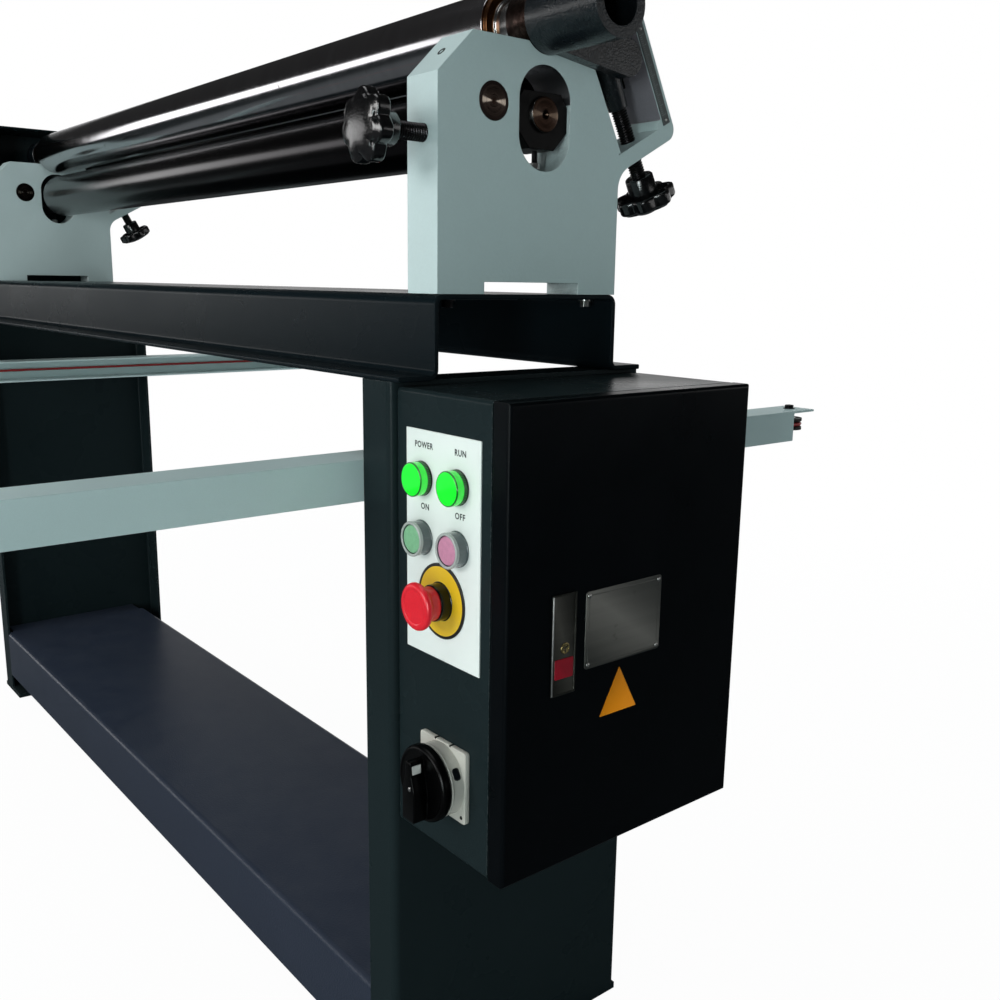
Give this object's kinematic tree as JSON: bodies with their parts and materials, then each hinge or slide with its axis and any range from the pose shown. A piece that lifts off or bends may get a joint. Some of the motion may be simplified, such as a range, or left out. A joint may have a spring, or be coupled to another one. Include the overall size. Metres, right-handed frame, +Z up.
{
  "type": "plate rolling machine",
  "caption": "Motorised three-roll plate rolling machine on a folded steel stand, with end frames, star knobs, a control cabinet and trip rope arms.",
  "frame": {"origin": "on the floor, in the middle of the four floor anchor holes", "axes": "+X along the rolls towards the control cabinet, +Y to the rear, +Z up"},
  "size_m": [1.8345, 1.118, 1.13],
  "materials": {
    "stand_paint": "anthracite paint with a faint texture",
    "frame_paint": "pale grey-green paint on a casting",
    "arm_paint": "grey-green paint on sheet",
    "hammer_paint": "dark hammer-finish paint",
    "roll_steel": "ground steel",
    "bare_steel": "oiled machined steel",
    "bearing_steel": "dark oiled steel",
    "cast_blocks": "dark cast iron",
    "scale_strip": "dark graduated strip",
    "screw_steel": "blackened threaded steel",
    "knob_plastic": "glossy black moulded plastic",
    "panel_plate": "white control plate",
    "zinc_plate": "zinc-plated sheet",
    "lamp_lens": "bright green lens",
    "green_cap": "pale green button cap",
    "pink_cap": "pale red button cap",
    "grey_collar": "grey translucent boot",
    "yellow_ring": "yellow ring with a black border",
    "red_head": "glossy red moulded plastic",
    "beige_plate": "beige-grey moulded plastic",
    "switch_black": "black moulded plastic",
    "pulley_plastic": "black moulded plastic",
    "rope_red": "red coated rope"
  },
  "bodies": {
    "root": {"bed": "stand_paint", "leg_right": "stand_paint", "leg_left": "stand_paint", "shelf": "stand_paint", "end_frame_right": "frame_paint", "end_frame_left": "frame_paint", "release_housing": "hammer_paint", "top_bearing_left": "hammer_paint", "rear_blocks": "bare_steel", "pivot_pins": "bare_steel", "stop_screws": "bearing_steel", "guide_scales": "scale_strip", "gear_guard": "stand_paint", "motor_housing": "stand_paint", "cabinet_body": "stand_paint", "mounting_plate": "zinc_plate", "control_panel": "panel_plate", "lamp_power": "lamp_lens", "lamp_run": "lamp_lens", "button_collars": "grey_collar", "emergency_base": "yellow_ring", "switch_base": "beige_plate", "arm_right": "arm_paint", "arm_left": "arm_paint", "trip_pulleys": "pulley_plastic", "trip_rope_sides": "rope_red", "trip_rope_ends": "rope_red"},
    "lower_carriage": {"lower_blocks": "cast_blocks"},
    "lower_roll_body": {"lower_roll": "roll_steel"},
    "top_roll_body": {"top_roll": "roll_steel"},
    "rear_roll_body": {"rear_roll": "roll_steel"},
    "front_adjuster_right": {"front_screw_right": "screw_steel", "front_knob_right": "knob_plastic"},
    "front_adjuster_left": {"front_screw_left": "screw_steel", "front_knob_left": "knob_plastic"},
    "rear_adjuster_right": {"rear_screw_right": "screw_steel", "rear_knob_right": "knob_plastic"},
    "rear_adjuster_left": {"rear_screw_left": "screw_steel", "rear_knob_left": "knob_plastic"},
    "door": {"cabinet_door": "stand_paint", "door_latch": "zinc_plate"},
    "on_button": {"button_on": "green_cap"},
    "off_button": {"button_off": "pink_cap"},
    "stop_button": {"emergency_button": "red_head"},
    "main_switch": {"switch_handle": "switch_black"}
  },
  "joints": [
    {"name": "lower_roll_lift", "type": "slide", "parent": "root", "child": "lower_carriage", "axis": [0, 0, 1], "range_m": [0, 0.005]},
    {"name": "lower_roll_spin", "type": "hinge", "parent": "lower_carriage", "child": "lower_roll_body", "pos_m": [0, 0.006, 0.999], "axis": [1, 0, 0], "continuous": true},
    {"name": "top_roll_spin", "type": "hinge", "parent": "root", "child": "top_roll_body", "pos_m": [0, 0.006, 1.0806], "axis": [1, 0, 0], "continuous": true},
    {"name": "rear_roll_spin", "type": "hinge", "parent": "root", "child": "rear_roll_body", "pos_m": [0, 0.10154, 1.05366], "axis": [1, 0, 0], "continuous": true},
    {"name": "front_adjuster_right_turn", "type": "hinge", "parent": "root", "child": "front_adjuster_right", "pos_m": [0.729, -0.15, 0.973], "axis": [0, 1, 0], "continuous": true},
    {"name": "front_adjuster_left_turn", "type": "hinge", "parent": "root", "child": "front_adjuster_left", "pos_m": [-0.729, -0.15, 0.973], "axis": [0, 1, 0], "continuous": true},
    {"name": "rear_adjuster_right_turn", "type": "hinge", "parent": "root", "child": "rear_adjuster_right", "pos_m": [0.731, 0.14379, 0.9742], "axis": [0, -0.4695, 0.8829], "continuous": true},
    {"name": "rear_adjuster_left_turn", "type": "hinge", "parent": "root", "child": "rear_adjuster_left", "pos_m": [-0.731, 0.14379, 0.9742], "axis": [0, -0.4695, 0.8829], "continuous": true},
    {"name": "door_swing", "type": "hinge", "parent": "root", "child": "door", "pos_m": [0.873, 0.1535, 0.5], "axis": [0, 0, 1], "range_deg": [0, 110]},
    {"name": "on_press", "type": "slide", "parent": "root", "child": "on_button", "axis": [0, 1, 0], "range_m": [0, 0.003], "stiffness_N_per_m": 400},
    {"name": "off_press", "type": "slide", "parent": "root", "child": "off_button", "axis": [0, 1, 0], "range_m": [0, 0.003], "stiffness_N_per_m": 400},
    {"name": "emergency_press", "type": "slide", "parent": "root", "child": "stop_button", "axis": [0, 1, 0], "range_m": [0, 0.004]},
    {"name": "main_switch_turn", "type": "hinge", "parent": "root", "child": "main_switch", "pos_m": [0.8135, -0.18, 0.409], "axis": [0, 1, 0], "range_deg": [0, 90]}
  ],
  "couplings": [
    {"joint": "lower_roll_spin", "follows": "top_roll_spin", "ratio": -1}
  ]
}
